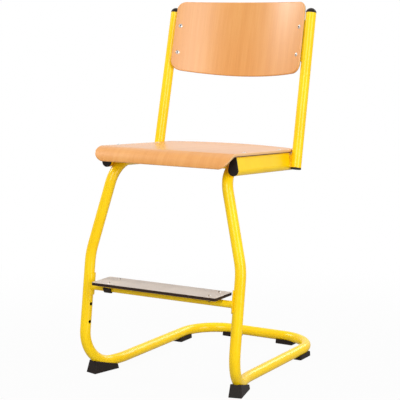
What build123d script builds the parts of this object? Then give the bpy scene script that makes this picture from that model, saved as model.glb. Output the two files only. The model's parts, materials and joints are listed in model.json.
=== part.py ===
from build123d import *
import os
from math import asin, cos, degrees, radians, sin, sqrt, tan

# High school chair on a bent steel tube frame, with a footrest that slides along the front legs.
# Millimetres, +Z up, floor at Z = 0, the sitter faces -Y, and X = 0 is the plane of symmetry.
# Heights and places are those of the right-hand side (+X). The left-hand side mirrors it.

# Steel tube of the base and the back posts
tube_d = 28.0
tube_wall = 2.0
weld_gap = 0.05

# Base tube: where its straight runs would meet, and the radius of each bend
runner_x = 192.5
leg_x = 225.5
leg_lean = 8.15
knee_y = -183.5
knee_z = 322.0
hip_y = -153.8
hip_drop = 28.0
heel_y = -95.7
rear_bar_y = 339.0
floor_gap = 8.0
hip_r = 65.0
knee_r = 180.0
toe_r = 88.0
heel_r = 180.0
rear_r = 110.0
sleeve_len = 80.0
sleeve_gap = 0.1

# Seat rails: tapered section with a flat top and a half-round underside
seat_tilt = 3.2
rail_in = 11.5
rail_front_y = -155.0
rail_rear_y = 158.0
rail_front_z = 596.4
rail_h = 47.0
rail_w = 28.0
rail_top_w = 16.0
rail_corner_r = 3.0
rail_wall = 2.0

# Tubes that tie the two sides together under the seat
cross_d = 20.0
cross_wall = 2.0
front_cross_y = -60.0
rear_cross_y = 100.0

# Back posts
post_y = 133.0
post_lean = 12.87
post_splay = 0.8
post_below = 5.5
post_above = 409.4

# Plastic end caps
cap_plate = 3.6
cap_stem = 14.0
cap_fit = 0.15
cap_edge_r = 1.2
top_cap_h = 13.2
top_cap_rim = 3.0
bottom_cap_h = 4.6

# Seat of moulded plywood: flat, rolled down at the front, rising slightly at the rear
seat_half_w = 200.0
seat_t = 9.0
seat_roll_y = -165.0
seat_roll_r = 42.0
seat_roll_angle = 84.0
seat_lip_corner_w = 35.0
seat_rise_y = 100.0
seat_rise_r = 1000.0
seat_rear_y = 193.0
seat_rear_bow = 36.0
seat_corner_r = 20.0
ply_edge_r = 2.4

# Back panel of moulded plywood: hollow towards the sitter, between and in front of the posts
panel_t = 8.0
panel_r = 400.0
panel_side_gap = 12.4
panel_front = 18.0
panel_mid = 336.0
panel_up = 111.0
panel_down = 96.0
panel_top_bow = 10.0
panel_bottom_bow = 6.5
panel_top_corner_r = 24.0
panel_bottom_corner_r = 27.0
lug_t = 3.0
lug_in = 25.6
lug_margin = 18.0
lug_lap = 7.0

# Blind rivets
rivet_head_d = 11.0
rivet_head_h = 1.8
rivet_d = 5.0
rivet_bulb_d = 7.4
rivet_bulb_h = 3.0
rivet_eye_d = 4.0
rivet_fit = 0.1
seat_rivet_y = (-103.0, 88.0)
panel_rivet_in = 14.6
panel_rivet_up = 34.0
panel_rivet_down = -41.0

# Front feet, measured along the toed-out tube from the point where leg and runner would meet
foot_start = 27.0
foot_len = 86.0
foot_w = 35.0
foot_top_w = 29.0
foot_front_h = 33.0
foot_rear_h = 13.0
foot_front_rake = 9.0
foot_rear_rake = 3.0
foot_peg_in = 15.0
peg_d = 7.6
peg_fit = 0.2
peg_rise = 4.0

# Glides under the runners and the rear bar
glide_h = 13.0
glide_w = 31.0
runner_glide_len = 62.0
runner_glide_y = 225.0
bar_glide_len = 54.0
bar_glide_x = 88.0
glide_corner_r = 4.0
glide_taper = 4.0

# Footrest
bar_d = 18.0
bar_wall = 2.0
bar_z = 236.6
hole_lead = 1.5
hole_d = 9.5
hole_pitch = 47.0
hole_count = 3
saddle_len = 58.0
saddle_rise = 6.5
saddle_wall = 2.7
saddle_gap = 0.3
saddle_edge = 8.0
saddle_corner_r = 9.0
board_side_gap = 26.0
board_w = 86.0
board_t = 8.0
board_corner_r = 6.0
board_edge = 0.8
left_tab_in = 45.5
right_tab_in = 28.5
tab_w = 25.0
tab_len = 64.0
tab_t = 4.0
tab_corner_r = 5.0
board_rivet_y = 24.5

# Locking pins inside the ends of the footrest bar, and the grips that draw them back
pin_d = 8.0
pin_fit = 0.3
pin_tail = 10.0
pin_travel = 6.0
pin_set_back = 0.4
pin_stud_d = 5.0
pin_stud_len = 14.0
grip_in = 68.5
grip_w = 23.0
grip_out = 18.0
grip_top = 3.6
grip_low = 10.4
grip_low_out = 9.5
grip_low_in = 4.0
grip_gap = 0.3
grip_edge_r = 1.0

# Values worked out from the driving dimensions
tube_r = tube_d / 2
bore_r = tube_r - tube_wall
runner_z = floor_gap + tube_r
tilt = radians(seat_tilt)
lean = radians(leg_lean)
leg_dir = Vector(0, sin(lean), cos(lean))
rail_x = seat_half_w - rail_in
hip_x = rail_x - rail_w / 2 - weld_gap - tube_r
post_x = rail_x + rail_w / 2 + weld_gap + tube_r


def rail_top_z(y):
    return rail_front_z - tan(tilt) * (y - rail_front_y)


def hip_z(y):
    return rail_top_z(y) - hip_drop / cos(tilt)


def leg_point(z):
    return Vector(leg_x, knee_y - tan(lean) * (knee_z - z), z)


def left(shape):
    return mirror(shape, about=Plane.YZ)


def both_sides(shape):
    return [shape, left(shape)]


bar_point = leg_point(bar_z) - Vector(leg_x, hole_lead, 0)
board_front_y = bar_point.Y - board_w / 2
middle_y = (board_front_y + rear_bar_y + max(tube_r, glide_w / 2)) / 2


def save(node, shape):
    # The origin lies on the floor, under the middle of the chair's length
    export_step(Pos(0, -middle_y, 0) * shape, f"parts/{node}.step")


def rod(start, end, radius):
    axis = Vector(end) - Vector(start)
    place = Plane(origin=start, z_dir=axis)
    return extrude(place * Circle(radius), axis.length)


# Base tube
toe = leg_point(runner_z)
base_path = FilletPolyline(
    (hip_x, rear_cross_y, hip_z(rear_cross_y)),
    (hip_x, hip_y, hip_z(hip_y)),
    (leg_x, knee_y, knee_z),
    toe,
    (runner_x, heel_y, runner_z),
    (runner_x, rear_bar_y, runner_z),
    (0, rear_bar_y, runner_z),
    radius=[hip_r, knee_r, toe_r, heel_r, rear_r],
)
base_start = Plane(origin=base_path @ 0, z_dir=base_path % 0)
base_seat = sweep(base_start * Circle(tube_r + weld_gap), path=base_path)
base_tube = sweep(base_start * (Circle(tube_r) - Circle(bore_r)), path=base_path)
hole_points = [bar_point + Vector(leg_x, 0, 0) - leg_dir * hole_pitch * k for k in range(hole_count)]
for point in hole_points:
    base_tube -= rod(point - Vector(tube_d, 0, 0), point, hole_d / 2)

# Tubes that cross under the seat
front_cross_z = hip_z(front_cross_y)
rear_cross_z = hip_z(rear_cross_y)


def cross_rod(half, y, z, radius):
    return rod((-half, y, z), (half, y, z), radius)


front_cross = cross_rod(hip_x, front_cross_y, front_cross_z, cross_d / 2)
front_cross -= cross_rod(hip_x, front_cross_y, front_cross_z, cross_d / 2 - cross_wall)
rear_cross_outer = cross_rod(rail_x, rear_cross_y, rear_cross_z, cross_d / 2)
rear_cross = rear_cross_outer - cross_rod(rail_x, rear_cross_y, rear_cross_z, cross_d / 2 - cross_wall)
base_tube -= rear_cross_outer
for side in both_sides(base_seat):
    front_cross -= side

# Seat rails: the section stands square to the rail, with its flat top at the origin
rail_len = (rail_rear_y - rail_front_y) / cos(tilt)
rail_place = Plane(
    origin=(rail_x, rail_front_y, rail_front_z), x_dir=(-1, 0, 0), z_dir=(0, cos(tilt), -sin(tilt))
)


def rail_profile(inset):
    rounds = Pos(0, rail_w / 2 - rail_h) * Circle(rail_w / 2 - inset)
    for sign in (-1, 1):
        corner = Pos(sign * (rail_top_w / 2 - rail_corner_r), -rail_corner_r)
        rounds += corner * Circle(rail_corner_r - inset)
    return make_hull(rounds.edges())


rail_outline = rail_profile(0)
rail_bore = rail_profile(rail_wall)
rail_solid = rail_place * extrude(rail_outline, rail_len)
rail = rail_place * extrude(rail_outline - rail_bore, rail_len) - base_seat
for side in both_sides(rail_solid):
    rear_cross -= side


def rail_cap():
    plate = extrude(rail_outline, -cap_plate)
    plate = fillet(plate.faces().sort_by(Axis.Z)[0].edges(), cap_edge_r)
    stem = extrude(rail_profile(rail_wall + cap_fit), cap_stem)
    return plate + stem


rail_front_cap = rail_place * rail_cap()
rail_rear_cap = rail_place * Pos(0, 0, rail_len) * mirror(rail_cap(), about=Plane.XY)

# Back posts and their caps
post_dir = Vector(-tan(radians(post_splay)), tan(radians(post_lean)), 1).normalized()
post_foot = Vector(post_x, post_y, rail_top_z(post_y) - (rail_h - rail_w / 2) / cos(tilt))
post_bottom = post_foot - post_dir * post_below
post_top = post_foot + post_dir * post_above
post_solid = rod(post_bottom, post_top, tube_r)
post = post_solid - rod(post_bottom, post_top, bore_r)


def cap_stem_rod():
    return extrude(Circle(bore_r - cap_fit), -cap_stem)


def dome_cap():
    # A round-shouldered button: a short upright rim, then a shallow dome
    crown_h = top_cap_h - top_cap_rim
    crown_r = (tube_r**2 + crown_h**2) / (2 * crown_h)
    crown = Pos(0, 0, top_cap_h - crown_r) * Sphere(crown_r)
    dome = extrude(Circle(tube_r), top_cap_h) & crown
    return dome + cap_stem_rod()


def flat_cap():
    plate = extrude(Circle(tube_r), bottom_cap_h)
    plate = fillet(plate.faces().sort_by(Axis.Z)[-1].edges(), cap_edge_r)
    return plate + cap_stem_rod()


post_top_cap = Plane(origin=post_top, z_dir=post_dir) * dome_cap()
post_bottom_cap = Plane(origin=post_bottom, z_dir=-post_dir) * flat_cap()


# Blind rivet: axis +Z, with the underside of its head at Z = 0
def rivet(grip):
    crown_r = ((rivet_head_d / 2) ** 2 + rivet_head_h**2) / (2 * rivet_head_h)
    head = extrude(Circle(rivet_head_d / 2), rivet_head_h)
    head &= Pos(0, 0, rivet_head_h - crown_r) * Sphere(crown_r)
    head -= extrude(Circle(rivet_eye_d / 2), rivet_head_h)
    shank = extrude(Circle(rivet_d / 2), -grip)
    bulb = Pos(0, 0, -grip) * extrude(Circle(rivet_bulb_d / 2), -rivet_bulb_h)
    return head + shank + bulb


def rivet_hole(depth):
    return extrude(Circle(rivet_d / 2 + rivet_fit), -depth, both=True)


# Seat: its section along the rail, with h = 0 on the rail's flat top
seat_place = Plane(
    origin=(0, rail_front_y, rail_front_z), x_dir=(0, cos(tilt), -sin(tilt)), z_dir=(1, 0, 0)
)
roll_s = (seat_roll_y - rail_front_y) / cos(tilt)
rise_s = (seat_rise_y - rail_front_y) / cos(tilt)
rear_s = (seat_rear_y - rail_front_y) / cos(tilt) + seat_t
rise_angle = degrees(asin((rear_s - rise_s) / seat_rise_r))


def roll_point(radius, angle):
    turn = radians(angle)
    return (roll_s - radius * sin(turn), seat_t - seat_roll_r + radius * cos(turn))


def rise_point(radius, angle):
    turn = radians(angle)
    return (rise_s + radius * sin(turn), seat_t + seat_rise_r - radius * cos(turn))


def roll_arc(radius):
    return ThreePointArc(*[roll_point(radius, seat_roll_angle * k) for k in (0, 0.5, 1)])


def rise_arc(radius):
    return ThreePointArc(*[rise_point(radius, rise_angle * k) for k in (0, 0.5, 1)])


seat_inner_roll = seat_roll_r - seat_t
seat_outer_rise = seat_rise_r + seat_t
seat_section = make_face(
    [
        Line(roll_point(seat_roll_r, 0), rise_point(seat_rise_r, 0)),
        rise_arc(seat_rise_r),
        Line(rise_point(seat_rise_r, rise_angle), rise_point(seat_outer_rise, rise_angle)),
        rise_arc(seat_outer_rise),
        Line(rise_point(seat_outer_rise, 0), roll_point(seat_inner_roll, 0)),
        roll_arc(seat_inner_roll),
        Line(roll_point(seat_inner_roll, seat_roll_angle), roll_point(seat_roll_r, seat_roll_angle)),
        roll_arc(seat_roll_r),
    ]
)
seat = extrude(seat_place * seat_section, seat_half_w, both=True)
seat_front_y = seat_roll_y - seat_roll_r - seat_t
seat_side_y = seat_rear_y - seat_rear_bow
seat_plan = make_face(
    [
        Polyline(
            (-seat_half_w, seat_side_y),
            (-seat_half_w, seat_front_y),
            (seat_half_w, seat_front_y),
            (seat_half_w, seat_side_y),
        ),
        ThreePointArc((seat_half_w, seat_side_y), (0, seat_rear_y), (-seat_half_w, seat_side_y)),
    ]
)
seat_plan = fillet(seat_plan.vertices().group_by(Axis.Y)[1], seat_corner_r)
seat &= extrude(seat_plan, rail_front_z + rail_h)
lip_low = seat_place.from_local_coords(Vector(*roll_point(seat_inner_roll, seat_roll_angle)))
roll_under = seat_place.from_local_coords(Vector(*roll_point(seat_inner_roll, 0)))
lip_corner_h = roll_under.Z - lip_low.Z - ply_edge_r
lip_corner_r = (seat_lip_corner_w**2 + lip_corner_h**2) / (2 * lip_corner_h)
lip_corner = Rectangle(seat_lip_corner_w, lip_corner_h, align=Align.MIN)
lip_corner -= Pos(0, lip_corner_r) * Circle(lip_corner_r)
corner_place = Plane(
    origin=(seat_half_w - seat_lip_corner_w, seat_roll_y, lip_low.Z), x_dir=(1, 0, 0), z_dir=(0, -1, 0)
)
lip_cut = extrude(corner_place * lip_corner, seat_roll_r + seat_t, dir=(0, -1, 0))
for side in both_sides(lip_cut):
    seat -= side
seat = fillet(seat.edges(), ply_edge_r)
seat_rivets = []
for y in seat_rivet_y:
    seat_s = (y - rail_front_y) / cos(tilt)
    rivet_place = Plane(
        origin=seat_place.from_local_coords(Vector(seat_s, seat_t, rail_x)),
        z_dir=(0, sin(tilt), cos(tilt)),
    )
    seat_rivets += both_sides(rivet_place * rivet(seat_t + rail_wall))
    hole = rivet_place * rivet_hole(seat_t + rail_h / 2)
    rail -= hole
    for side in both_sides(hole):
        seat -= side

# Back panel, in a frame that stands in the plane of the two posts: x across, y up, z forward
back_lean = radians(post_lean)
back_up = Vector(0, sin(back_lean), cos(back_lean))
back_origin = Vector(0, post_foot.Y, post_foot.Z) + back_up * panel_mid
back_place = Plane(origin=back_origin, x_dir=(1, 0, 0), z_dir=(0, -cos(back_lean), sin(back_lean)))


def post_half(up):
    return post_x - tan(radians(post_splay)) * cos(back_lean) * (panel_mid + up)


def panel_half(up):
    return post_half(up) - panel_side_gap


panel_centre = panel_front + sqrt(panel_r**2 - panel_half(0) ** 2)
panel_high = panel_up - panel_top_bow
panel_low = panel_bottom_bow - panel_down


def bent_layer(inner_r, thickness, outline):
    ring = Pos(0, panel_centre) * (Circle(inner_r + thickness) - Circle(inner_r))
    band = extrude(Plane.XZ * ring, panel_up + panel_down, both=True)
    return band & extrude(outline, panel_centre / 2, both=True)


low_half = panel_half(panel_low)
high_half = panel_half(panel_high)
panel_outline = make_face(
    [
        ThreePointArc((-low_half, panel_low), (0, -panel_down), (low_half, panel_low)),
        Line((low_half, panel_low), (high_half, panel_high)),
        ThreePointArc((high_half, panel_high), (0, panel_up), (-high_half, panel_high)),
        Line((-high_half, panel_high), (-low_half, panel_low)),
    ]
)
panel_corners = panel_outline.vertices().sort_by(Axis.Y)
panel_outline = fillet(panel_corners[2:], panel_top_corner_r)
panel_corners = panel_outline.vertices().sort_by(Axis.Y)
panel_outline = fillet(panel_corners[:2], panel_bottom_corner_r)
panel = fillet(bent_layer(panel_r, panel_t, panel_outline).edges(), ply_edge_r)

# Lugs: steel tabs that follow the panel's back and are welded to the posts
lug_top = panel_rivet_up + lug_margin
lug_bottom = panel_rivet_down - lug_margin
lug_inner_x = panel_half(0) - lug_in
lug_outer_x = post_half(0) - lug_lap
lug_outline = Pos(lug_inner_x, lug_bottom) * Rectangle(
    lug_outer_x - lug_inner_x, lug_top - lug_bottom, align=Align.MIN
)
lug = bent_layer(panel_r + panel_t, lug_t, lug_outline)
panel_rivets = []
panel_rivet_x = panel_half(0) - panel_rivet_in
rivet_turn = degrees(asin(panel_rivet_x / panel_r))
rivet_seat_r = sqrt(panel_r**2 - (rivet_head_d / 2) ** 2)
panel_grip = panel_r + panel_t + lug_t - rivet_seat_r
for up in (panel_rivet_up, panel_rivet_down):
    rivet_place = Pos(0, up, panel_centre) * Rot(0, -rivet_turn, 0) * Pos(0, 0, -rivet_seat_r)
    panel_rivets += both_sides(back_place * rivet_place * rivet(panel_grip))
    hole = rivet_place * rivet_hole(panel_t + 2 * lug_t)
    lug -= hole
    for side in both_sides(hole):
        panel -= side
panel = back_place * panel
lug = back_place * lug - post_solid

# Front feet, wedged under the toed-out bend
along = (Vector(runner_x, heel_y, runner_z) - toe).normalized()
foot_place = Plane(origin=(toe.X, toe.Y, 0), x_dir=along, z_dir=(0, 0, 1))
foot_end = foot_start + foot_len
foot_side = Polygon(
    (foot_start, 0),
    (foot_end, 0),
    (foot_end - foot_rear_rake, foot_rear_h),
    (foot_start + foot_front_rake, foot_front_h),
    align=None,
)
foot_front = Polygon(
    (-foot_w / 2, 0),
    (foot_w / 2, 0),
    (foot_top_w / 2, foot_front_h),
    (-foot_top_w / 2, foot_front_h),
    align=None,
)
foot = extrude(Plane.XZ * foot_side, foot_w, both=True) & extrude(Plane.YZ * foot_front, foot_end)
foot = fillet(foot.edges().filter_by(Axis.Z, reverse=True), cap_edge_r)
foot = foot_place * foot - base_seat


def peg(x, y):
    return rod((x, y, floor_gap / 2), (x, y, floor_gap + tube_wall + peg_rise), peg_d / 2)


def peg_hole(x, y):
    return rod((x, y, 0), (x, y, runner_z), peg_d / 2 + peg_fit)


foot_peg = foot_place.from_local_coords(Vector(foot_end - foot_peg_in, 0, 0))
foot += peg(foot_peg.X, foot_peg.Y)
base_tube -= peg_hole(foot_peg.X, foot_peg.Y)


# Glides: shallow blocks that cup the underside of the tube
def glide(x, y, size_x, size_y):
    sole = RectangleRounded(size_x, size_y, glide_corner_r)
    block = extrude(sole, glide_h, taper=glide_taper)
    block = fillet(block.faces().sort_by(Axis.Z)[0].edges(), cap_edge_r)
    return Pos(x, y) * block - base_seat + peg(x, y)


runner_glide = glide(runner_x, runner_glide_y, glide_w, runner_glide_len)
bar_glide = glide(bar_glide_x, rear_bar_y, bar_glide_len, glide_w)
base_tube -= peg_hole(runner_x, runner_glide_y)
base_tube -= peg_hole(bar_glide_x, rear_bar_y)

# Sleeve inside the rear bar, where the two halves of the base meet
sleeve_r = bore_r - sleeve_gap
sleeve_half = Vector(sleeve_len / 2, 0, 0)
sleeve_mid = Vector(0, rear_bar_y, runner_z)
sleeve = rod(sleeve_mid - sleeve_half, sleeve_mid + sleeve_half, sleeve_r)
sleeve -= rod(sleeve_mid - sleeve_half, sleeve_mid + sleeve_half, sleeve_r - tube_wall)

# Footrest: saddles on the inside of the legs, and the bar between them
saddle_in = tube_r + saddle_gap
saddle_out = saddle_in + saddle_wall
saddle_place = Plane(origin=leg_point(bar_z + saddle_rise), x_dir=(-1, 0, 0), z_dir=leg_dir)
saddle_chord = 2 * sqrt(saddle_out**2 - saddle_edge**2)
saddle_face = RectangleRounded(saddle_chord, saddle_len, saddle_corner_r)
saddle = extrude(Circle(saddle_out) - Circle(saddle_in), saddle_len / 2, both=True)
saddle &= Pos(saddle_edge, 0, 0) * extrude(Plane.YZ * saddle_face, saddle_out)
saddle = saddle_place * saddle
saddle_core = saddle_place * extrude(Circle(saddle_out), saddle_len, both=True)
bar_end = Vector(leg_x, 0, 0)
saddle -= rod(bar_point, bar_point + bar_end, pin_d / 2 + pin_fit)
bar_bore_r = bar_d / 2 - bar_wall
bar = rod(bar_point - bar_end, bar_point + bar_end, bar_d / 2)
bar -= rod(bar_point - bar_end, bar_point + bar_end, bar_bore_r)
for side in both_sides(saddle_core):
    bar -= side

# Steel tabs welded across the bar, and the board riveted to them
tab_z = bar_z + bar_d / 2
board_z = tab_z + tab_t
board_half = leg_x - tube_r - board_side_gap
board_face = RectangleRounded(2 * board_half, board_w, board_corner_r)
board = extrude(board_face, board_t)
board_rims = board.faces().sort_by(Axis.Z)[0].edges() + board.faces().sort_by(Axis.Z)[-1].edges()
board = Pos(0, bar_point.Y, board_z) * chamfer(board_rims, board_edge)
tab_plate = extrude(RectangleRounded(tab_w, tab_len, tab_corner_r), tab_t - weld_gap)
board_tabs = []
board_rivets = []
for x in (left_tab_in - board_half, board_half - right_tab_in):
    tab = Pos(x, bar_point.Y, tab_z + weld_gap) * tab_plate
    for offset_y in (-board_rivet_y, board_rivet_y):
        rivet_place = Pos(x, bar_point.Y + offset_y, board_z + board_t)
        board_rivets.append(rivet_place * rivet(board_t + tab_t))
        hole = rivet_place * rivet_hole(board_t + 2 * tab_t)
        board -= hole
        tab -= hole
    board_tabs.append(tab)


# The two ends of the bar hold the same lock, the left one turned end for end
def turned(shape):
    return shape.rotate(Axis((0, bar_point.Y, 0), (0, 0, 1)), 180)


# Locking pin: a body that slides in the bar, a nose for the hole and a stud for the grip
pin_tip = bar_point + Vector(leg_x - saddle_in - pin_set_back, 0, 0)
pin_shoulder = bar_point + Vector(leg_x - saddle_out - pin_travel - 2 * pin_fit, 0, 0)
grip_mid = bar_point + Vector(leg_x - grip_in, 0, 0)
pin = rod(grip_mid - Vector(pin_tail, 0, 0), pin_shoulder, bar_bore_r - pin_fit)
pin += rod(pin_shoulder, pin_tip, pin_d / 2)
pin += rod(grip_mid, grip_mid + Vector(0, pin_stud_len, 0), pin_stud_d / 2)
slot = SlotCenterToCenter(pin_travel, pin_stud_d + 2 * pin_fit)
slot = Pos(pin_travel / 2, 0, 0) * extrude(Plane.XZ * slot, -bar_d)
slot = Pos(grip_mid) * slot
bar -= slot
bar -= turned(slot)

# Grip: a wedge for the fingers that hooks under the bar and takes the stud
grip_outline = Polygon(
    (0, grip_top),
    (grip_low_in, -grip_low),
    (grip_low_out, -grip_low),
    (grip_out, grip_top),
    align=None,
)
grip = Pos(grip_mid) * extrude(Plane.YZ * grip_outline, grip_w / 2, both=True)
grip = fillet(grip.edges(), grip_edge_r)
grip -= rod(bar_point, bar_point + bar_end, bar_d / 2 + grip_gap)
grip -= rod(grip_mid, grip_mid + Vector(0, pin_stud_len + rivet_fit, 0), pin_stud_d / 2 + rivet_fit)

# One file for each piece
os.makedirs("parts", exist_ok=True)
sided = {
    "base_tube": base_tube,
    "seat_rail": rail,
    "rail_front_cap": rail_front_cap,
    "rail_rear_cap": rail_rear_cap,
    "back_post": post,
    "post_top_cap": post_top_cap,
    "post_bottom_cap": post_bottom_cap,
    "back_lug": lug,
    "front_foot": foot,
    "runner_glide": runner_glide,
    "crossbar_glide": bar_glide,
    "footrest_saddle": saddle,
}
central = {
    "rear_bar_sleeve": sleeve,
    "front_cross_tube": front_cross,
    "rear_cross_tube": rear_cross,
    "seat_shell": seat,
    "seat_rivets": Compound(seat_rivets),
    "back_panel": panel,
    "back_rivets": Compound(panel_rivets),
    "footrest_bar": bar,
    "left_board_tab": board_tabs[0],
    "right_board_tab": board_tabs[1],
    "footrest_board": board,
    "board_rivets": Compound(board_rivets),
    "right_locking_pin": pin,
    "left_locking_pin": turned(pin),
    "right_release_grip": grip,
    "left_release_grip": turned(grip),
}
for node, shape in sided.items():
    save("right_" + node, shape)
    save("left_" + node, left(shape))
for node, shape in central.items():
    save(node, shape)
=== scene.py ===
import json
from math import atan2, cos, pi, radians, sin, sqrt

import bmesh
import bpy
from mathutils import Matrix, Vector


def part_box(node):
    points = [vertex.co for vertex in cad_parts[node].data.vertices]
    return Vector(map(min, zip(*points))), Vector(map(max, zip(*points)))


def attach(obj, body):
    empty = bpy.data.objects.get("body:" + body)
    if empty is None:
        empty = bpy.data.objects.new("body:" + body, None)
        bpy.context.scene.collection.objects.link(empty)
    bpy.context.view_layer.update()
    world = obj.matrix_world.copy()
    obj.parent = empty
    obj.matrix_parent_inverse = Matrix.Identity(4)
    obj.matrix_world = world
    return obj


# School chair on a bent tube frame. The CAD nodes are the fixed frame, in metres, +Z up, facing -Y.
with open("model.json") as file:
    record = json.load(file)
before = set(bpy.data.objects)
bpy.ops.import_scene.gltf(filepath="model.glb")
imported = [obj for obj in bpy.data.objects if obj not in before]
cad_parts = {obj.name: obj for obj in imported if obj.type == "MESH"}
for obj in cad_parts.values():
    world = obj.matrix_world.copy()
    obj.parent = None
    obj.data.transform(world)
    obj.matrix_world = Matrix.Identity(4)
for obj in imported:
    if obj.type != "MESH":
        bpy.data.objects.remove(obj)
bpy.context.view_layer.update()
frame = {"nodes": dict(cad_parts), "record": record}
nodes = frame["nodes"]
mm = 0.001
colourA, colourB, colourOut = 6, 7, 2    # the colour sockets of a Mix node
print("frame:", len(nodes), "CAD nodes")


def hexColour(text):
    channels = [int(text[i:i + 2], 16) / 255 for i in (1, 3, 5)]
    linear = [c / 12.92 if c <= 0.04045 else ((c + 0.055) / 1.055) ** 2.4 for c in channels]
    return linear + [1.0]


# inputs: socket -> a value, or (node, output) to link from; stops: a ramp's (place, hex colour);
# the rest are the node's own properties
def addNode(tree, kind, inputs=None, stops=(), **props):
    node = tree.nodes.new(kind)
    for name, value in props.items():
        setattr(node, name, value)
    for socket, value in (inputs or {}).items():
        if isinstance(value, tuple) and isinstance(value[0], bpy.types.Node):
            tree.links.new(value[0].outputs[value[1]], node.inputs[socket])
        else:
            node.inputs[socket].default_value = value
    for number, (place, colour) in enumerate(stops):
        elements = node.color_ramp.elements
        element = elements[number] if number < 2 else elements.new(place)
        element.position = place
        element.color = hexColour(colour)
    return node


def newMaterial(name):
    material = bpy.data.materials.new(name)
    material.use_nodes = True
    tree = material.node_tree
    tree.nodes.clear()
    return material, tree


# The right leg's axis where the pins enter it, in mm, and how far its top leans rearwards, in degrees
legAxis = {"point": (225.5, -252.87, 236.6), "lean": 8.15}

# Powder coat: pigmented polyester baked on steel tube. Glossy, with a little orange peel, thinner and warmer
# in patches. Inside the legs the steel is bare. It and the drilled walls of the pin holes are painted near
# black as the shade inside the tube, which shows in the holes.
powderCoat = {
    "warm": "#FCCC05",
    "bright": "#FFD60C",
    "patch": 90.0,        # mm, slow drift in the coat's thickness
    "patchDetail": 2.0,
    "patchStops": (0.3, 0.7),
    "peel": 5.0,          # mm, real orange peel is about 1.5 mm, drawn coarser so that it shows
    "peelDetail": 1.0,
    "peelDepth": 0.015,   # mm
    "peelStrength": 0.6,
    "roughness": (0.22, 0.3),
    "ior": 1.5,
    "specular": 0.35,
    "bareSteelInShade": "#17120D",
    "boreRadius": 13.7,   # mm, so that the drilled walls of the holes get the painted shade too
    "boreMiddle": -47.0,  # mm along the leg from the point on its axis
    "boreReach": 58.0,    # mm each way from there
}


def makePowderCoat(look, leg):
    material, tree = newMaterial("yellowPowderCoat")
    place = (addNode(tree, "ShaderNodeTexCoord"), "Object")
    drift = addNode(tree, "ShaderNodeTexNoise", {"Vector": place, "Scale": 1 / (look["patch"] * mm),
                                                 "Detail": look["patchDetail"]})
    thin, thick = look["patchStops"]
    colour = addNode(tree, "ShaderNodeValToRGB", {"Fac": (drift, "Fac")},
                     [(thin, look["warm"]), (thick, look["bright"])])
    axes = addNode(tree, "ShaderNodeSeparateXYZ", {0: place})
    oneSide = addNode(tree, "ShaderNodeMath", {0: (axes, "X")}, operation="ABSOLUTE")
    folded = addNode(tree, "ShaderNodeCombineXYZ", {0: (oneSide, "Value"), 1: (axes, "Y"), 2: (axes, "Z")})
    inLeg = addNode(tree, "ShaderNodeMapping", {"Vector": (folded, "Vector"), "Scale": (mm, mm, mm),
                                                "Location": [value * mm for value in leg["point"]],
                                                "Rotation": (radians(-leg["lean"]), 0, 0)},
                    vector_type="TEXTURE")
    legAxes = addNode(tree, "ShaderNodeSeparateXYZ", {0: (inLeg, "Vector")})
    across = addNode(tree, "ShaderNodeVectorMath", {0: (inLeg, "Vector"), 1: (1, 1, 0)},
                     operation="MULTIPLY")
    fromAxis = addNode(tree, "ShaderNodeVectorMath", {0: (across, "Vector")}, operation="LENGTH")
    within = addNode(tree, "ShaderNodeMath", {0: (fromAxis, "Value"), 1: look["boreRadius"]},
                     operation="LESS_THAN")
    beside = addNode(tree, "ShaderNodeMath",
                     {0: (legAxes, "Z"), 1: look["boreMiddle"], 2: look["boreReach"]}, operation="COMPARE")
    inside = addNode(tree, "ShaderNodeMath", {0: (within, "Value"), 1: (beside, "Value")},
                     operation="MULTIPLY")
    # painted shade: inside the leg and on the walls of the pin holes the coat turns near black, for the
    # shade in the tube
    coated = addNode(tree, "ShaderNodeMix",
                     {"Factor": (inside, "Value"), colourA: (colour, "Color"),
                      colourB: hexColour(look["bareSteelInShade"])}, data_type="RGBA")
    peel = addNode(tree, "ShaderNodeTexNoise", {"Vector": place, "Scale": 1 / (look["peel"] * mm),
                                                "Detail": look["peelDetail"]})
    gloss = addNode(tree, "ShaderNodeMapRange", {"Value": (drift, "Fac"), "To Min": look["roughness"][0],
                                                 "To Max": look["roughness"][1]})
    bump = addNode(tree, "ShaderNodeBump", {"Height": (peel, "Fac"), "Distance": look["peelDepth"] * mm,
                                            "Strength": look["peelStrength"]})
    shader = addNode(tree, "ShaderNodeBsdfPrincipled",
                     {"Base Color": (coated, colourOut), "Roughness": (gloss, "Result"),
                      "Normal": (bump, "Normal"), "IOR": look["ior"],
                      "Specular IOR Level": look["specular"]})
    addNode(tree, "ShaderNodeOutputMaterial", {"Surface": (shader, "BSDF")})
    return material


# Polypropylene: moulded, black, with the fine spark-eroded grain of its tool.
blackPlastic = {
    "dark": "#140C08",
    "light": "#241711",
    "grain": 2.4,         # mm, the tool's grain is about 0.5 mm, drawn coarser so that it shows
    "grainDetail": 4.0,
    "grainRoughness": 0.6,
    "grainStops": (0.35, 0.7),
    "grainDepth": 0.12,   # mm
    "grainStrength": 0.5,
    "roughness": (0.5, 0.62),
    "ior": 1.49,
    "specular": 0.3,
}


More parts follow.
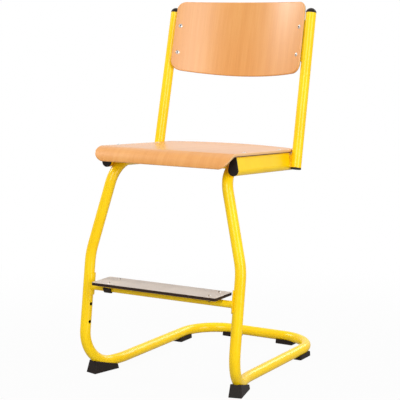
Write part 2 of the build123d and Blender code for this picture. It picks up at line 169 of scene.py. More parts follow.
def makeBlackPlastic(look):
    material, tree = newMaterial("blackPolypropylene")
    place = (addNode(tree, "ShaderNodeTexCoord"), "Object")
    grain = addNode(tree, "ShaderNodeTexNoise",
                    {"Vector": place, "Scale": 1 / (look["grain"] * mm), "Detail": look["grainDetail"],
                     "Roughness": look["grainRoughness"]})
    pit, peak = look["grainStops"]
    colour = addNode(tree, "ShaderNodeValToRGB", {"Fac": (grain, "Fac")},
                     [(pit, look["dark"]), (peak, look["light"])])
    gloss = addNode(tree, "ShaderNodeMapRange", {"Value": (grain, "Fac"), "To Min": look["roughness"][0],
                                                 "To Max": look["roughness"][1]})
    bump = addNode(tree, "ShaderNodeBump", {"Height": (grain, "Fac"), "Distance": look["grainDepth"] * mm,
                                            "Strength": look["grainStrength"]})
    shader = addNode(tree, "ShaderNodeBsdfPrincipled",
                     {"Base Color": (colour, "Color"), "Roughness": (gloss, "Result"),
                      "Normal": (bump, "Normal"), "IOR": look["ior"],
                      "Specular IOR Level": look["specular"]})
    addNode(tree, "ShaderNodeOutputMaterial", {"Surface": (shader, "BSDF")})
    return material


# Zinc-plated steel: bright and satin, with fine drawing marks and a faint yellow-grey bloom.
brightSteel = {
    "bloom": "#D5D1CA",
    "clean": "#F2F0ED",
    "marks": 1.2,         # mm
    "marksDetail": 3.0,
    "marksStops": (0.35, 0.6),
    "roughness": (0.4, 0.5),
    "shadedTail": "#4A3826",    # the blind end under the board, painted dark brown as the shade there
}


# tailTop: the height in metres under which a rivet's blind end and its painted shade start, or 0 for a piece
# with none
def makeBrightSteel(name, look, tailTop=0.0):
    material, tree = newMaterial(name)
    place = (addNode(tree, "ShaderNodeTexCoord"), "Object")
    marks = addNode(tree, "ShaderNodeTexNoise", {"Vector": place, "Scale": 1 / (look["marks"] * mm),
                                                 "Detail": look["marksDetail"]})
    hazy, bare = look["marksStops"]
    colour = addNode(tree, "ShaderNodeValToRGB", {"Fac": (marks, "Fac")},
                     [(hazy, look["bloom"]), (bare, look["clean"])])
    axes = addNode(tree, "ShaderNodeSeparateXYZ", {0: place})
    # painted shade: below tailTop the steel is drawn dark brown, for the shade under the board
    isTail = addNode(tree, "ShaderNodeMath", {0: (axes, "Z"), 1: tailTop}, operation="LESS_THAN")
    plated = addNode(tree, "ShaderNodeMix", {"Factor": (isTail, "Value"), colourA: (colour, "Color"),
                                             colourB: hexColour(look["shadedTail"])}, data_type="RGBA")
    gloss = addNode(tree, "ShaderNodeMapRange", {"Value": (marks, "Fac"), "To Min": look["roughness"][0],
                                                 "To Max": look["roughness"][1]})
    shader = addNode(tree, "ShaderNodeBsdfPrincipled",
                     {"Base Color": (plated, colourOut), "Roughness": (gloss, "Result"), "Metallic": 1.0})
    addNode(tree, "ShaderNodeOutputMaterial", {"Surface": (shader, "BSDF")})
    return material


# High-pressure laminate: a warm grey printed face on a black phenolic core, which shows at the sawn edges.
laminateBoard = {
    "face": "#C8BCB1",
    "faceDark": "#B8ABA0",
    "core": "#2B1707",
    "faceDepth": 0.35,    # mm, the face paper, drawn thicker so that it shows
    "speck": 3.0,         # mm
    "speckDetail": 2.0,
    "speckShare": 0.5,    # of the specks in the face's tone, the rest is cloud
    "cloud": 60.0,        # mm
    "cloudDetail": 3.0,
    "toneStops": (0.38, 0.58),
    "speckDepth": 0.05,   # mm
    "speckStrength": 0.4,
    "faceRoughness": 0.36,
    "coreRoughness": 0.7,
    "ior": 1.5,
    "specular": 0.35,
}


def makeLaminate(look):
    material, tree = newMaterial("greyLaminate")
    low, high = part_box("footrest_board")
    place = (addNode(tree, "ShaderNodeTexCoord"), "Object")
    axes = addNode(tree, "ShaderNodeSeparateXYZ", {0: place})
    middle = (low.z + high.z) / 2
    halfCore = (high.z - low.z) / 2 - look["faceDepth"] * mm
    isCore = addNode(tree, "ShaderNodeMath", {0: (axes, "Z"), 1: middle, 2: halfCore}, operation="COMPARE")
    cloud = addNode(tree, "ShaderNodeTexNoise", {"Vector": place, "Scale": 1 / (look["cloud"] * mm),
                                                 "Detail": look["cloudDetail"]})
    speck = addNode(tree, "ShaderNodeTexNoise", {"Vector": place, "Scale": 1 / (look["speck"] * mm),
                                                 "Detail": look["speckDetail"]})
    tone = addNode(tree, "ShaderNodeMix", {"Factor": look["speckShare"], "A": (cloud, "Fac"),
                                           "B": (speck, "Fac")})
    dark, light = look["toneStops"]
    face = addNode(tree, "ShaderNodeValToRGB", {"Fac": (tone, "Result")},
                   [(dark, look["faceDark"]), (light, look["face"])])
    colour = addNode(tree, "ShaderNodeMix", {"Factor": (isCore, "Value"), colourA: (face, "Color"),
                                             colourB: hexColour(look["core"])}, data_type="RGBA")
    gloss = addNode(tree, "ShaderNodeMapRange",
                    {"Value": (isCore, "Value"), "To Min": look["faceRoughness"],
                     "To Max": look["coreRoughness"]})
    bump = addNode(tree, "ShaderNodeBump", {"Height": (speck, "Fac"), "Distance": look["speckDepth"] * mm,
                                            "Strength": look["speckStrength"]})
    shader = addNode(tree, "ShaderNodeBsdfPrincipled",
                     {"Base Color": (colour, colourOut), "Roughness": (gloss, "Result"),
                      "Normal": (bump, "Normal"), "IOR": look["ior"],
                      "Specular IOR Level": look["specular"]})
    addNode(tree, "ShaderNodeOutputMaterial", {"Surface": (shader, "BSDF")})
    return material


# Beech plywood: rotary-cut veneer under clear lacquer. Long soft streaks with short dark flecks along the
# grain, and at the edges the plies, each second one across the grain and so darker. The edges' lowest plies
# get painted shade, drawn dark for the shadow between the ply and the rail.
beechPly = {
    "streak": "#DB964D",
    "main": "#E09C53",
    "pale": "#E4A45C",
    "fleck": "#CF8544",
    "edge": "#EDBE84",
    "crossPly": "#DDAC70",
    "paintedShadeUnderEdge": "#2E1C0F",        # painted shade: the last plies drawn dark, for the shadow between the ply and the rail
    "paintedShadeDepth": (6.0, 6.5),      # mm under the sitter's face, where they start
    "ply": 1.5,           # mm
    "plyBlend": (0.42, 0.58),      # of a ply, where one turns into the next
    "edgeFacing": (0.6, 0.82),     # how far sideways a sawn edge faces
    "streakSize": (26.0, 420.0),   # mm across and along the grain
    "fineSize": (2.6, 120.0),      # mm, the grain lines are under 1 mm, drawn coarser so that they show
    "fleckSize": (1.5, 15.0),
    "detail": {"streak": 3.0, "fine": 3.0, "fleck": 1.0},
    "noiseRoughness": 0.55,
    "apart": (17.0, 3.0, 5.0),     # in their own sizes, sets the patterns off from each other
    "fineShare": 0.42,    # of the fine lines in the face's tone, the rest are streaks
    "toneStops": (0.36, 0.5, 0.64),
    "fleckStops": (0.62, 0.75),
    "fleckShare": 0.3,
    "grainDepth": 0.04,   # mm
    "grainStrength": 0.35,
    "roughness": (0.35, 0.43),
    "edgeRoughness": 0.85,
    "ior": 1.5,
    "coat": 0.45,
    "coatRoughness": 0.27,
}

# The seat's own frame, in mm: on the rail's flat top at its front end, y rearwards along the seat,
# z square to it
seatForm = {
    "origin": (0.0, -212.135, 596.4),
    "turn": -3.2,         # degrees about X
    "thickness": 9.0,
    "rollStart": -10.016,
    "rollRadius": 42.0,
    "riseStart": 255.4,
    "riseRadius": 1000.0,
    "far": 2000.0,        # further off than the middle of either bend
}

# The back panel's own frame, in mm: in the plane of the posts, y up along them, z forward
backForm = {
    "origin": (0.0, 150.70, 874.81),
    "turn": 77.13,        # degrees about X
    "axisForward": 364.65,         # the axis of the panel's bend
    "radius": 400.0,
}


# Millimetres along the grain and under the sitter's face, over the rolled front and the rise at the rear
def addSeatRun(tree, own, form):
    bends = (("rollStart", -form["rollRadius"], "MINIMUM", (0, 0, form["far"])),
             ("riseStart", form["riseRadius"], "MAXIMUM", (0, 0, -form["far"])))
    lengths = []
    for start, radius, side, limit in bends:
        middle = (0, form[start], form["thickness"] + radius)
        away = addNode(tree, "ShaderNodeVectorMath", {0: own, 1: middle}, operation="SUBTRACT")
        beyond = addNode(tree, "ShaderNodeVectorMath", {0: (away, "Vector"), 1: limit}, operation=side)
        square = addNode(tree, "ShaderNodeVectorMath", {0: (beyond, "Vector"), 1: (0, 1, 1)},
                         operation="MULTIPLY")
        reach = addNode(tree, "ShaderNodeVectorMath", {0: (square, "Vector")}, operation="LENGTH")
        lengths.append((reach, "Value"))
    axes = addNode(tree, "ShaderNodeSeparateXYZ", {0: own})
    between = addNode(tree, "ShaderNodeMath", {0: lengths[1], 1: lengths[0]}, operation="SUBTRACT")
    flat = form["rollRadius"] - form["riseRadius"] - form["thickness"]
    level = addNode(tree, "ShaderNodeMath", {0: (axes, "Z"), 1: flat}, operation="ADD")
    depth = addNode(tree, "ShaderNodeMath", {0: (between, "Value"), 1: (level, "Value")}, operation="ADD")
    along = addNode(tree, "ShaderNodeMath", {0: (axes, "Y"), 1: (axes, "Z")}, operation="ADD")
    return (along, "Value"), (depth, "Value")


# The same on the back panel, which bends about one axis
def addBackRun(tree, own, form):
    middle = (0, 0, form["axisForward"])
    away = addNode(tree, "ShaderNodeVectorMath", {0: own, 1: middle}, operation="SUBTRACT")
    square = addNode(tree, "ShaderNodeVectorMath", {0: (away, "Vector"), 1: (1, 0, 1)},
                     operation="MULTIPLY")
    reach = addNode(tree, "ShaderNodeVectorMath", {0: (square, "Vector")}, operation="LENGTH")
    depth = addNode(tree, "ShaderNodeMath", {0: (reach, "Value"), 1: form["radius"]}, operation="SUBTRACT")
    axes = addNode(tree, "ShaderNodeSeparateXYZ", {0: own})
    return (axes, "Y"), (depth, "Value")


# Three noises drawn out along the grain, for the streaks, the fine lines and the flecks, and the plies at
# the edges, with painted shade along their lowest plies
def makeBeech(name, look, form, addRun):
    material, tree = newMaterial(name)
    place = addNode(tree, "ShaderNodeTexCoord")
    own = addNode(tree, "ShaderNodeMapping", {"Vector": (place, "Object"), "Scale": (mm, mm, mm),
                                              "Location": [value * mm for value in form["origin"]],
                                              "Rotation": (radians(form["turn"]), 0, 0)},
                  vector_type="TEXTURE")
    along, depth = addRun(tree, (own, "Vector"), form)
    axes = addNode(tree, "ShaderNodeSeparateXYZ", {0: (own, "Vector")})
    grain = addNode(tree, "ShaderNodeCombineXYZ", {0: (axes, "X"), 1: along, 2: depth})
    noises = {}
    x, y, z = look["apart"]
    for number, (pattern, detail) in enumerate(look["detail"].items()):
        width, length = look[pattern + "Size"]
        drawn = addNode(tree, "ShaderNodeMapping",
                        {"Vector": (grain, "Vector"), "Location": (x * number, y, z),
                         "Scale": (1 / width, 1 / length, 1 / width)})
        noise = addNode(tree, "ShaderNodeTexNoise", {"Vector": (drawn, "Vector"), "Scale": 1.0,
                                                     "Detail": detail,
                                                     "Roughness": look["noiseRoughness"]})
        noises[pattern] = (noise, "Fac")
    tone = addNode(tree, "ShaderNodeMix", {"Factor": look["fineShare"], "A": noises["streak"],
                                           "B": noises["fine"]})
    face = addNode(tree, "ShaderNodeValToRGB", {"Fac": (tone, "Result")},
                   list(zip(look["toneStops"], (look["streak"], look["main"], look["pale"]))))
    flecks = addNode(tree, "ShaderNodeMapRange",
                     {"Value": noises["fleck"], "From Min": look["fleckStops"][0],
                      "From Max": look["fleckStops"][1], "To Max": look["fleckShare"]})
    flecked = addNode(tree, "ShaderNodeMix", {"Factor": (flecks, "Result"), colourA: (face, "Color"),
                                              colourB: hexColour(look["fleck"])}, data_type="RGBA")
    plies = addNode(tree, "ShaderNodeMath", {0: depth, 1: look["ply"]}, operation="DIVIDE")
    crossPly = addNode(tree, "ShaderNodeMath", {0: (plies, "Value"), 1: 1.0}, operation="PINGPONG")
    crossTone = addNode(tree, "ShaderNodeMapRange",
                        {"Value": (crossPly, "Value"), "From Min": look["plyBlend"][0],
                         "From Max": look["plyBlend"][1]})
    sawn = addNode(tree, "ShaderNodeMix",
                   {"Factor": (crossTone, "Result"), colourA: hexColour(look["edge"]),
                    colourB: hexColour(look["crossPly"])}, data_type="RGBA")
    # painted shade: the sawn edges turn dark towards the underside, for the shadow between the ply and the
    # rail
    under = addNode(tree, "ShaderNodeMapRange", {"Value": depth, "From Min": look["paintedShadeDepth"][0],
                                                 "From Max": look["paintedShadeDepth"][1]})
    shadedEdgeColour = addNode(tree, "ShaderNodeMix",
                      {"Factor": (under, "Result"), colourA: (sawn, colourOut),
                       colourB: hexColour(look["paintedShadeUnderEdge"])}, data_type="RGBA")
    facing = addNode(tree, "ShaderNodeSeparateXYZ", {0: (place, "Normal")})
    sideways = addNode(tree, "ShaderNodeMath", {0: (facing, "X")}, operation="ABSOLUTE")
    isEdge = addNode(tree, "ShaderNodeMapRange",
                     {"Value": (sideways, "Value"), "From Min": look["edgeFacing"][0],
                      "From Max": look["edgeFacing"][1]})
    colour = addNode(tree, "ShaderNodeMix",
                     {"Factor": (isEdge, "Result"), colourA: (flecked, colourOut),
                      colourB: (shadedEdgeColour, colourOut)}, data_type="RGBA")
    lacquer = addNode(tree, "ShaderNodeMapRange", {"Value": noises["fine"], "To Min": look["roughness"][0],
                                                   "To Max": look["roughness"][1]})
    gloss = addNode(tree, "ShaderNodeMapRange", {"Value": (isEdge, "Result"), "To Min": (lacquer, "Result"),
                                                 "To Max": look["edgeRoughness"]})
    bump = addNode(tree, "ShaderNodeBump", {"Height": noises["fine"], "Distance": look["grainDepth"] * mm,
                                            "Strength": look["grainStrength"]})
    shader = addNode(tree, "ShaderNodeBsdfPrincipled",
                     {"Base Color": (colour, colourOut), "Roughness": (gloss, "Result"),
                      "Normal": (bump, "Normal"), "IOR": look["ior"], "Coat Weight": look["coat"],
                      "Coat Roughness": look["coatRoughness"]})
    addNode(tree, "ShaderNodeOutputMaterial", {"Surface": (shader, "BSDF")})
    return material


# By the record's slots, and then for single nodes
finishes = {
    "yellow_powder_coat": makePowderCoat(powderCoat, legAxis),
    "black_plastic": makeBlackPlastic(blackPlastic),
    "bright_steel": makeBrightSteel("zincPlatedSteel", brightSteel),
    "laminate_board": makeLaminate(laminateBoard),
}
ownFinishes = {
    "seat_shell": makeBeech("beechPlySeat", beechPly, seatForm, addSeatRun),
    "back_panel": makeBeech("beechPlyBack", beechPly, backForm, addBackRun),
    "board_rivets": makeBrightSteel("zincPlatedRivets", brightSteel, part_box("left_board_tab")[0].z),
}
for part in frame["record"]["subparts"]:
    node = nodes[part["node"]]
    node.data.materials.clear()
    node.data.materials.append(ownFinishes.get(part["node"]) or finishes[part["material_slot"]])
print("finishes:", len(finishes) + len(ownFinishes), "materials on the CAD nodes")


# Pieces are modelled from a primitive, with nothing else selected
def startPiece(addPrimitive, **sizes):
    bpy.ops.object.select_all(action="DESELECT")
    addPrimitive(**sizes)
    return bpy.context.object


# Faces outwards, edges rounded by one subdivision
def finishModel(piece):
    bpy.ops.object.mode_set(mode="EDIT")
    bpy.ops.mesh.select_all(action="SELECT")
    bpy.ops.mesh.normals_make_consistent(inside=False)
    bpy.ops.object.mode_set(mode="OBJECT")
    smooth = piece.modifiers.new("rounding", "SUBSURF")
    smooth.levels = smooth.render_levels = 1
    bpy.ops.object.modifier_apply(modifier="rounding")
    bpy.ops.object.shade_smooth()
    return piece


# Copies one model to each place, with its place in its mesh, and joins them as one piece of a body
def setPiece(name, model, places, body, slot, material):
    bpy.ops.object.select_all(action="DESELECT")
    for place in places:
        copy = model.copy()
        copy.data = model.data.copy()
        copy.data.transform(place)
        if place.determinant() < 0:
            copy.data.flip_normals()
        bpy.context.scene.collection.objects.link(copy)
        copy.select_set(True)
        bpy.context.view_layer.objects.active = copy
    bpy.ops.object.join()
    piece = bpy.context.object
    piece.name = piece.data.name = name
    piece.data.materials.clear()
    piece.data.materials.append(material)
    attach(piece, body)
    bpy.data.objects.remove(model)
    print("piece:", name, "x", len(places))


def bothSides(places):
    mirror = Matrix.Scale(-1, 4, (1, 0, 0))
    return [side @ place for place in places for side in (Matrix.Identity(4), mirror)]


# Lays +Z of a model, from 0 to its length in mm, from start to end
def layAlong(start, end, length):
    start, end = Vector(start) * mm, Vector(end) * mm
    run = end - start
    turn = run.to_track_quat("Z", "Y").to_matrix().to_4x4()
    return Matrix.Translation(start) @ turn @ Matrix.Diagonal((1, 1, run.length / (length * mm), 1))


# Weld bead: a drawn-out pool of steel with ripples, under the same powder coat
weldBead = {
    "length": 30.0,       # mm
    "ripple": 2.5,
    "crest": 2.6,         # half width
    "waist": 2.2,
    "tip": 1.1,
    "sides": 10,
}


def modelBead(look):
    steps = round(look["length"] / look["ripple"])
    bead = startPiece(bpy.ops.mesh.primitive_circle_add, vertices=look["sides"], radius=look["tip"] * mm,
                      fill_type="NGON")
    bpy.ops.object.mode_set(mode="EDIT")
    bpy.ops.mesh.select_all(action="SELECT")
    was = look["tip"]
    for step in range(1, steps + 1):
        bpy.ops.mesh.extrude_region_move(TRANSFORM_OT_translate={"value": (0, 0, look["ripple"] * mm)})
        now = look["crest"] if step % 2 else look["waist"]
        if step == steps:
            now = look["tip"]
        share = now / was
        height = step * look["ripple"] * mm
        bpy.ops.transform.resize(value=(share, share, 1), center_override=(0, 0, height))
        was = now
    bpy.ops.object.mode_set(mode="OBJECT")
    return finishModel(bead)


# Ring weld round the end of a tube: it follows the piece that the tube is welded to. Half its width is
# in mm, and the waist of its ripples is a share of that.
ringWeld = {"segments": 36, "sides": 8, "half": 1.9, "waist": 0.84}


def modelRing(look, radius, settle):
    ring = startPiece(bpy.ops.mesh.primitive_torus_add, major_segments=look["segments"],
                      minor_segments=look["sides"], major_radius=radius * mm,
                      minor_radius=look["half"] * mm)
    bpy.ops.object.mode_set(mode="EDIT")
    for step in range(look["segments"]):
        turn = 2 * pi * step / look["segments"]
        mesh = bmesh.from_edit_mesh(ring.data)
        for vertex in mesh.verts:
            away = abs((atan2(vertex.co.y, vertex.co.x) - turn + pi) % (2 * pi) - pi)
            vertex.select_set(away < pi / look["segments"])
        mesh.select_flush_mode()
        bmesh.update_edit_mesh(ring.data)
        if step % 2:
            middle = (radius * cos(turn) * mm, radius * sin(turn) * mm, 0)
            bpy.ops.transform.resize(value=(look["waist"],) * 3, center_override=middle)
        bpy.ops.transform.translate(value=(0, 0, settle(turn) * mm))
    bpy.ops.object.mode_set(mode="OBJECT")
    return finishModel(ring)


# A ring model's +Z becomes +X, towards the right-hand side
def ringPlace(x, y, z):
    return Matrix.Translation(Vector((x, y, z)) * mm) @ Matrix.Rotation(pi / 2, 4, "Y")


# How far each place of a ring lies beyond its nearest one, on a tube that leans from upright
def tubeSettle(radius, tubeRadius, lean, shift=0.0):
    def settle(turn):
        y, z = shift + radius * sin(turn), -radius * cos(turn)
        off = y * cos(lean) - z * sin(lean)
        return tubeRadius - sqrt(tubeRadius**2 - off**2)
    return settle


# Places of the welded joints on the right-hand side, in mm
seams = {
    "post": ((203.2, 67.6, 541.5), (200.6, 77.4, 577.0)),          # from end to end
    "postRear": ((203.2, 81.4, 541.5), (200.6, 91.4, 575.5)),
    "railFoot": (174.4, -39.0),    # x and z in the seat's frame
    "railStops": (40.0, 120.0, 190.0),      # y there, where each bead starts
    "lugMiddle": (197.4, 2.2),     # x and z in the back panel's frame
    "lugEnds": ((-56.0, -22.0), (15.0, 49.0)),    # y there, from end to end
    "tabHalf": 9.0,       # half a tab's bead
    "tabSide": 5.2,       # from the tab's middle to its beads
    "barRadius": 9.6,     # of the ring round the footrest's bar
    "barShift": -1.5,     # of that bar from the leg's axis
    "saddleRadius": 17.0,
    "crossRadius": 10.4,  # of the ring round the front cross tube
    "tubeRadius": 14.0,
    "hipX": 160.45,       # the base tube's axis at that cross tube
}


# From a piece's own frame to the chair's: a direction, and a place in mm
def ownWay(form, x, y, z):
    return Matrix.Rotation(radians(form["turn"]), 3, "X") @ Vector((x, y, z))


def ownPoint(form, x, y, z):
    return Vector(form["origin"]) + ownWay(form, x, y, z)


def makeWelds(seams, leg, coat):
    length = weldBead["length"]
    yellow = ("yellow_powder_coat", coat)
    posts = [layAlong(*seams[name], length) for name in ("post", "postRear")]
    setPiece("postWelds", modelBead(weldBead), bothSides(posts), "frame", *yellow)
    x, z = seams["railFoot"]
    rails = [layAlong(ownPoint(seatForm, x, stop, z), ownPoint(seatForm, x, stop + length, z), length)
             for stop in seams["railStops"]]
    setPiece("railWelds", modelBead(weldBead), bothSides(rails), "frame", *yellow)
    x, z = seams["lugMiddle"]
    lugs = [layAlong(ownPoint(backForm, x, low, z), ownPoint(backForm, x, high, z), length)
            for low, high in seams["lugEnds"]]
    setPiece("lugWelds", modelBead(weldBead), bothSides(lugs), "frame", *yellow)
    tabs = []
    half = Vector((seams["tabHalf"], 0, 0))
    for node in ("left_board_tab", "right_board_tab"):
        low, high = (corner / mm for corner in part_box(node))
        x, y = (low.x + high.x) / 2, (low.y + high.y) / 2
        for side in (-1, 1):
            middle = Vector((x, y + side * seams["tabSide"], low.z - weldBead["waist"] / 2))
            tabs.append(layAlong(middle - half, middle + half, length))
    setPiece("tabWelds", modelBead(weldBead), tabs, "footrest", *yellow)
    low, high = (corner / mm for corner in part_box("footrest_bar"))
    settle = tubeSettle(seams["barRadius"], seams["saddleRadius"], radians(leg["lean"]), seams["barShift"])
    x = leg["point"][0] - seams["saddleRadius"]
    bars = [ringPlace(x, (low.y + high.y) / 2, (low.z + high.z) / 2)]
    ring = modelRing(ringWeld, seams["barRadius"], settle)
    setPiece("barWelds", ring, bothSides(bars), "footrest", *yellow)
    low, high = (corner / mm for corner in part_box("front_cross_tube"))
    settle = tubeSettle(seams["crossRadius"], seams["tubeRadius"], pi / 2 - radians(seatForm["turn"]))
    x = seams["hipX"] - seams["tubeRadius"]
    ends = [ringPlace(x, (low.y + high.y) / 2, (low.z + high.z) / 2)]
    ring = modelRing(ringWeld, seams["crossRadius"], settle)
    setPiece("crossTubeWelds", ring, bothSides(ends), "frame", *yellow)


# Broken-off mandrel in the eye of each blind rivet: steel with a torn tip, drawn near black as painted shade
# for the rivet's eye
mandrel = {
    "half": 1.85,         # mm
    "rise": {"seatMandrels": 1.7, "backMandrels": 1.5, "boardMandrels": 2.3},    # mm
    "neck": 0.55,         # share of the width left at the break
    "tear": 0.25,         # mm
    "tearTilt": 12.0,     # degrees
    "sides": 14,
    "topFacing": 0.9,     # how far upwards the pin's top faces
    "rimHeight": 1.58,    # mm, of the rivet's rim above the underside of its head
    "turn": 27.55,        # degrees, the back rivets from straight ahead
    "mottle": 0.8,        # mm
    "mottleDetail": 2.0,
    "mottleStops": (0.4, 0.65),
    "dark": "#0B0908",
    "bright": "#1F1B18",
    "roughness": (0.6, 0.8),
    "specular": 0.2,
}


# painted shade: the mandrels' steel is drawn near black and mottled, for the shade in the rivets' eyes
def makeEyeShadeSteel(look):
    material, tree = newMaterial("mandrelSteel")
    place = (addNode(tree, "ShaderNodeTexCoord"), "Object")
    tone = addNode(tree, "ShaderNodeTexNoise", {"Vector": place, "Scale": 1 / (look["mottle"] * mm),
                                                "Detail": look["mottleDetail"]})
    shadeStop, bare = look["mottleStops"]
    colour = addNode(tree, "ShaderNodeValToRGB", {"Fac": (tone, "Fac")},
                     [(shadeStop, look["dark"]), (bare, look["bright"])])
    gloss = addNode(tree, "ShaderNodeMapRange", {"Value": (tone, "Fac"), "To Min": look["roughness"][0],
                                                 "To Max": look["roughness"][1]})
    shader = addNode(tree, "ShaderNodeBsdfPrincipled",
                     {"Base Color": (colour, "Color"), "Roughness": (gloss, "Result"),
                      "Specular IOR Level": look["specular"]})
    addNode(tree, "ShaderNodeOutputMaterial", {"Surface": (shader, "BSDF")})
    return material


def modelMandrel(look, rise):
    pin = startPiece(bpy.ops.mesh.primitive_cylinder_add, vertices=look["sides"], radius=look["half"] * mm,
                     depth=rise * mm, location=(0, 0, rise / 2 * mm))
    bpy.ops.object.transform_apply(location=True)
    bpy.ops.object.mode_set(mode="EDIT")
    mesh = bmesh.from_edit_mesh(pin.data)
    for face in mesh.faces:
        face.select_set(face.normal.z > look["topFacing"])
    bmesh.update_edit_mesh(pin.data)
    top = (0, 0, rise * mm)
    bpy.ops.mesh.inset(thickness=look["half"] * (1 - look["neck"]) * mm)
    bpy.ops.mesh.extrude_region_move(TRANSFORM_OT_translate={"value": (0, 0, look["tear"] * mm)})
    bpy.ops.transform.rotate(value=radians(look["tearTilt"]), orient_axis="X", center_override=top)
    bpy.ops.object.mode_set(mode="OBJECT")
    return finishModel(pin)


# One place for each rivet of a node: its way by its side (left, right), and the middle of its head from
# its vertices, which are told apart along x and splitAxis
def rivetPlaces(node, splitAxis, ways, rimHeight):
    low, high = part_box(node)
    middle = (low + high) / 2
    groups = {}
    for vertex in nodes[node].data.vertices:
        key = (vertex.co.x > middle.x, vertex.co[splitAxis] > middle[splitAxis])
        groups.setdefault(key, []).append(vertex.co)
    places = []
    for key, points in groups.items():
        turn = ways[key[0]].to_track_quat("Z", "Y").to_matrix()
        own = [turn.transposed() @ point for point in points]
        spans = [(min(p[i] for p in own), max(p[i] for p in own)) for i in range(3)]
        spot = Vector((sum(spans[0]) / 2, sum(spans[1]) / 2, spans[2][1] - rimHeight * mm))
        places.append(Matrix.Translation(turn @ spot) @ turn.to_4x4())
    return places


def makeMandrels(look):
    steel = makeEyeShadeSteel(look)
    turn = radians(look["turn"])
    seatWay = ownWay(seatForm, 0, 0, 1)
    backWays = [ownWay(backForm, -side * sin(turn), 0, cos(turn)) for side in (-1, 1)]
    boardWay = Vector((0, 0, 1))
    alongY, alongZ = 1, 2
    groups = {
        "seatMandrels": ("seat_rivets", alongY, (seatWay, seatWay), "frame"),
        "backMandrels": ("back_rivets", alongZ, backWays, "frame"),
        "boardMandrels": ("board_rivets", alongY, (boardWay, boardWay), "footrest"),
    }
    for name, (node, splitAxis, ways, body) in groups.items():
        places = rivetPlaces(node, splitAxis, ways, look["rimHeight"])
        setPiece(name, modelMandrel(look, look["rise"][name]), places, body, "bright_steel", steel)


makeWelds(seams, legAxis, finishes["yellow_powder_coat"])
makeMandrels(mandrel)

# Stage: a pale floor that turns white away from the chair and keeps its soft shadow, in a white studio
# that is open and dimmer on the camera's side
stageLook = {
    "size": 24.0,         # metres
    "floor": "#A2A2A2",
    "nearShare": 0.96,    # of the floor's white that the camera sees without shadow
    "nearReach": 0.45,    # metres from the chair's middle
    "farReach": 1.5,
    "fillStrength": 0.42,
    "openSide": 0.3,      # what glossy surfaces see on the camera's side
    "openRange": (-0.95, 0.2),     # cosines from the camera's way, between which the studio opens
    "floorGlow": 0.45,    # what glossy surfaces see of the floor
}

# Camera, as the photograph was taken: degrees, metres, and mm for the lens and its sensor
cameraLook = {
    "azimuth": 30.56,
    "elevation": 8.48,
    "distance": 3.398,
    "target": (0.0, -0.0571, 0.456),
    "lens": 115.36,
    "sensor": 36.0,
}


# Degrees round from the chair's front towards its right-hand side, and degrees up
def wayFrom(azimuth, elevation):
    turn, rise = radians(azimuth), radians(elevation)
    return Vector((sin(turn) * cos(rise), -cos(turn) * cos(rise), sin(rise)))


def makeFloor(look):
    bpy.ops.object.select_all(action="DESELECT")
    bpy.ops.mesh.primitive_plane_add(size=look["size"])
    floor = bpy.context.object
    floor.name = "floor"
    material, tree = newMaterial("paleFloor")
    material.cycles.emission_sampling = "NONE"    # its white is only for the camera and for mirrored rays
    paths = addNode(tree, "ShaderNodeLightPath")
    place = addNode(tree, "ShaderNodeTexCoord")
    reach = addNode(tree, "ShaderNodeVectorMath", {0: (place, "Object")}, operation="LENGTH")
    share = addNode(tree, "ShaderNodeMapRange", {"Value": (reach, "Value"), "From Min": look["nearReach"],
                                                 "From Max": look["farReach"], "To Min": look["nearShare"]},
                    interpolation_type="SMOOTHSTEP")
    straight = addNode(tree, "ShaderNodeMath",
                       {0: (paths, "Is Camera Ray"), 1: (paths, "Is Transmission Ray")}, operation="MAXIMUM")
    seen = addNode(tree, "ShaderNodeMath", {0: (straight, "Value"), 1: (share, "Result")},
                   operation="MULTIPLY")
    matt = addNode(tree, "ShaderNodeBsdfDiffuse", {"Color": hexColour(look["floor"])})
    mirrored = addNode(tree, "ShaderNodeEmission", {"Strength": look["floorGlow"]})
    white = addNode(tree, "ShaderNodeEmission", {"Strength": 1.0})
    glossy = addNode(tree, "ShaderNodeMixShader",
                     {0: (paths, "Is Glossy Ray"), 1: (matt, 0), 2: (mirrored, 0)})
    mixed = addNode(tree, "ShaderNodeMixShader", {0: (seen, "Value"), 1: (glossy, 0), 2: (white, 0)})
    addNode(tree, "ShaderNodeOutputMaterial", {"Surface": (mixed, 0)})
    floor.data.materials.append(material)


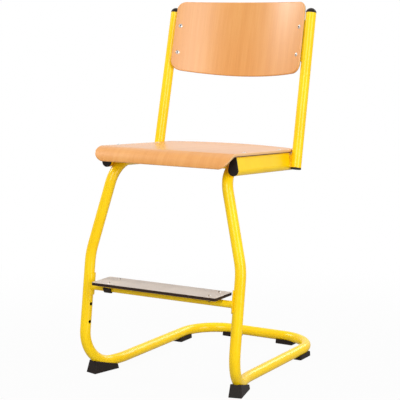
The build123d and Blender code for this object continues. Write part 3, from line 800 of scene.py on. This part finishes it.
def makeWorld(look, cameraWay):
    world = bpy.data.worlds.new("whiteStudio")
    bpy.context.scene.world = world
    world.use_nodes = True
    tree = world.node_tree
    tree.nodes.clear()
    paths = addNode(tree, "ShaderNodeLightPath")
    place = addNode(tree, "ShaderNodeTexCoord")
    towards = addNode(tree, "ShaderNodeVectorMath", {0: (place, "Generated"), 1: cameraWay},
                      operation="DOT_PRODUCT")
    closed, wide = look["openRange"]
    openness = addNode(tree, "ShaderNodeMapRange",
                       {"Value": (towards, "Value"), "From Min": closed, "From Max": wide,
                        "To Min": 1.0, "To Max": look["openSide"]})
    plain = (1, 1, 1, 1)
    fill = addNode(tree, "ShaderNodeBackground", {"Color": plain, "Strength": look["fillStrength"]})
    mirrored = addNode(tree, "ShaderNodeBackground", {"Color": plain, "Strength": (openness, "Result")})
    white = addNode(tree, "ShaderNodeBackground", {"Color": plain, "Strength": 1.0})
    glossy = addNode(tree, "ShaderNodeMixShader",
                     {0: (paths, "Is Glossy Ray"), 1: (fill, 0), 2: (mirrored, 0)})
    straight = addNode(tree, "ShaderNodeMath",
                       {0: (paths, "Is Camera Ray"), 1: (paths, "Is Transmission Ray")}, operation="MAXIMUM")
    mixed = addNode(tree, "ShaderNodeMixShader", {0: (straight, "Value"), 1: (glossy, 0), 2: (white, 0)})
    addNode(tree, "ShaderNodeOutputWorld", {"Surface": (mixed, 0)})


# Softboxes round the chair: degrees from its front, degrees up, metres away, metres wide and tall, watts
softboxes = {
    "keyStrip": {"azimuth": 11.0, "elevation": 24.0, "distance": 3.6, "size": (1.4, 2.3), "power": 60.0},
    "rightStrip": {"azimuth": 76.0, "elevation": 11.0, "distance": 3.2, "size": (1.3, 1.9), "power": 48.0},
    "leftBox": {"azimuth": -77.0, "elevation": 36.0, "distance": 2.5, "size": (0.8, 0.45), "power": 26.0},
    "topBox": {"azimuth": 180.0, "elevation": 78.0, "distance": 3.0, "size": (2.0, 2.0), "power": 15.0},
    "rearBox": {"azimuth": 165.0, "elevation": 30.0, "distance": 3.4, "size": (1.6, 1.6), "power": 40.0},
}


def makeLights(boxes, target):
    for name, box in boxes.items():
        lamp = bpy.data.lights.new(name, "AREA")
        lamp.shape = "RECTANGLE"
        lamp.size, lamp.size_y = box["size"]
        lamp.energy = box["power"]
        holder = bpy.data.objects.new(name, lamp)
        away = wayFrom(box["azimuth"], box["elevation"])
        holder.location = target + away * box["distance"]
        holder.rotation_euler = (-away).to_track_quat("-Z", "Y").to_euler()
        bpy.context.scene.collection.objects.link(holder)


def makeCamera(look):
    back = wayFrom(look["azimuth"], look["elevation"])
    camera = bpy.data.objects.new("camera", bpy.data.cameras.new("camera"))
    camera.data.sensor_width = look["sensor"]
    camera.data.lens = look["lens"]
    camera.location = Vector(look["target"]) + back * look["distance"]
    camera.rotation_euler = (-back).to_track_quat("-Z", "Y").to_euler()
    bpy.context.scene.collection.objects.link(camera)
    bpy.context.scene.camera = camera


makeFloor(stageLook)
makeWorld(stageLook, wayFrom(cameraLook["azimuth"], 0))
makeLights(softboxes, Vector(cameraLook["target"]))
makeCamera(cameraLook)
bpy.context.scene.view_settings.view_transform = "Standard"
print("stage: floor, world, softboxes and camera")
